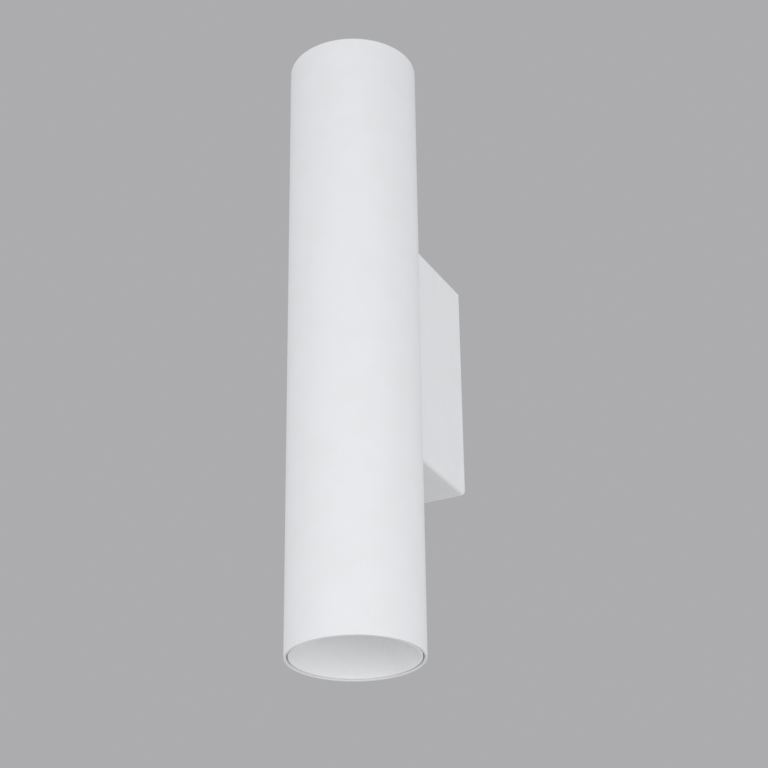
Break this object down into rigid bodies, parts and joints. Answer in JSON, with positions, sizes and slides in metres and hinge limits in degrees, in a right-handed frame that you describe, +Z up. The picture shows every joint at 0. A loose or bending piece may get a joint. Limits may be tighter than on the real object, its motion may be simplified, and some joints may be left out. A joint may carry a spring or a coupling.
{
  "type": "tube wall light",
  "caption": "Up-and-down wall light: an upright round tube with a deep reflector and a twist-lock lamp in each end, on a narrow wall box over a screwed wall plate.",
  "frame": {"origin": "centre of the wall face, at mid-height, between the two wall screw slots", "axes": "+Z up along the tube, +Y into the wall, the tube stands off towards -Y, +X to the right of a person who faces the wall"},
  "size_m": [0.06, 0.0945, 0.296],
  "materials": {
    "white_coat": "matte white powder coat, very fine texture",
    "white_screw": "matte white painted screw head",
    "reflector_white": "matte moulded white plastic",
    "zinc_steel": "bright zinc-plated sheet steel",
    "spring_steel": "rolled spring strip",
    "brass": "turned brass",
    "ceramic": "unglazed white steatite",
    "natural_nylon": "natural nylon",
    "lamp_shell": "satin white lamp shell",
    "lamp_lens": "frosted lens",
    "brown_lead": "brown silicone insulation",
    "blue_lead": "blue silicone insulation",
    "green_lead": "green and yellow silicone insulation"
  },
  "bodies": {
    "fixture": {"tube_body": "white_coat", "wall_box": "white_coat", "wall_plate": "zinc_steel", "plate_bush": "natural_nylon", "box_screws": "white_screw", "inner_frame": "zinc_steel", "frame_screws": "zinc_steel", "frame_nuts": "zinc_steel", "frame_washer": "zinc_steel", "earth_tag": "brass", "tube_bush": "natural_nylon", "terminal_block": "natural_nylon", "terminal_barrels": "brass", "terminal_screws": "zinc_steel", "block_screws": "zinc_steel", "lampholder_upper": "ceramic", "holder_contacts_upper": "brass", "holder_screws_upper": "zinc_steel", "lampholder_lower": "ceramic", "holder_contacts_lower": "brass", "holder_screws_lower": "zinc_steel", "live_wire_upper": "brown_lead", "neutral_wire_upper": "blue_lead", "live_wire_lower": "brown_lead", "neutral_wire_lower": "blue_lead", "earth_wire": "green_lead"},
    "upper_reflector": {"reflector_upper": "reflector_white", "reflector_clips_upper": "spring_steel"},
    "upper_lamp": {"lamp_body_upper": "lamp_shell", "lamp_lens_upper": "lamp_lens", "lamp_pins_upper": "brass"},
    "lower_reflector": {"reflector_lower": "reflector_white", "reflector_clips_lower": "spring_steel"},
    "lower_lamp": {"lamp_body_lower": "lamp_shell", "lamp_lens_lower": "lamp_lens", "lamp_pins_lower": "brass"}
  },
  "joints": [
    {"name": "upper_reflector_pull", "type": "slide", "parent": "fixture", "child": "upper_reflector", "axis": [0, 0, 1], "range_m": [0, 0.05]},
    {"name": "lower_reflector_pull", "type": "slide", "parent": "fixture", "child": "lower_reflector", "axis": [0, 0, -1], "range_m": [0, 0.05]},
    {"name": "upper_lamp_twist", "type": "hinge", "parent": "fixture", "child": "upper_lamp", "pos_m": [0, -0.0645, 0.09], "axis": [0, 0, 1], "range_deg": [0, 25]},
    {"name": "lower_lamp_twist", "type": "hinge", "parent": "fixture", "child": "lower_lamp", "pos_m": [0, -0.0645, -0.09], "axis": [0, 0, -1], "range_deg": [0, 25]}
  ]
}
